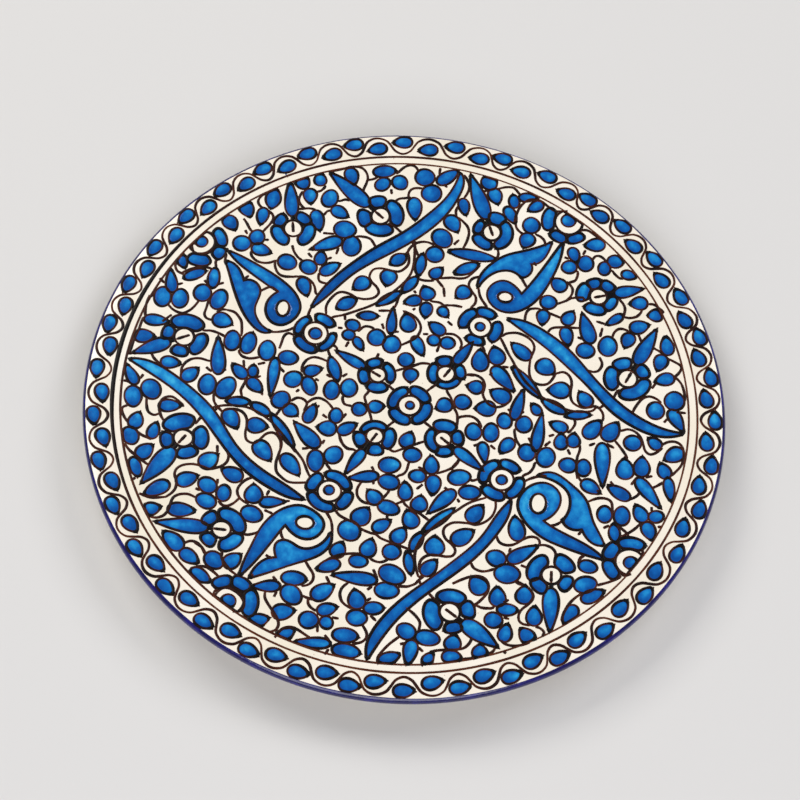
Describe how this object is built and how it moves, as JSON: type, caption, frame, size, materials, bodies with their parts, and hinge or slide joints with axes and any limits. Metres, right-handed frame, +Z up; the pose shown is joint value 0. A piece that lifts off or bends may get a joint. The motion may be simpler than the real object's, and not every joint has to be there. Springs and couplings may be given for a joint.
{
  "type": "hand painted ceramic plate",
  "caption": "Shallow round ceramic plate on a foot ring, its face painted with blue flowers, leaves and scrolls inside a leafy border.",
  "frame": {"origin": "centre of the foot ring in the plane it stands on", "axes": "+Z up along the axis the plate was thrown on, -Y towards the viewer of the pattern"},
  "size_m": [0.32, 0.32, 0.0242],
  "materials": {
    "clay": "matte",
    "cream_glaze": "gloss",
    "cobalt_glaze": "gloss",
    "blue_glaze": "gloss",
    "brown_line": "gloss"
  },
  "bodies": {
    "root": {"back_glaze": "cream_glaze", "berries": "blue_glaze", "border_leaves_inner": "blue_glaze", "border_leaves_outer": "blue_glaze", "border_vine": "brown_line", "centre_flower_eyes": "blue_glaze", "centre_flower_petals": "blue_glaze", "clay_body": "clay", "drops": "blue_glaze", "face_ground": "cream_glaze", "leaflets": "blue_glaze", "lip_band": "cobalt_glaze", "lobed_leaves": "blue_glaze", "long_leaves": "blue_glaze", "pistil_flower_drops": "blue_glaze", "pistil_flower_petals": "blue_glaze", "pistils": "brown_line", "rim_flower_eyes": "blue_glaze", "rim_flower_petals": "blue_glaze", "ring_flower_eyes": "blue_glaze", "ring_flower_petals": "blue_glaze", "ring_line_inner": "brown_line", "ring_line_outer": "brown_line", "scroll_hooks": "blue_glaze", "scroll_wings": "blue_glaze", "spindles": "blue_glaze", "well_glaze": "cream_glaze"}
  },
  "joints": []
}
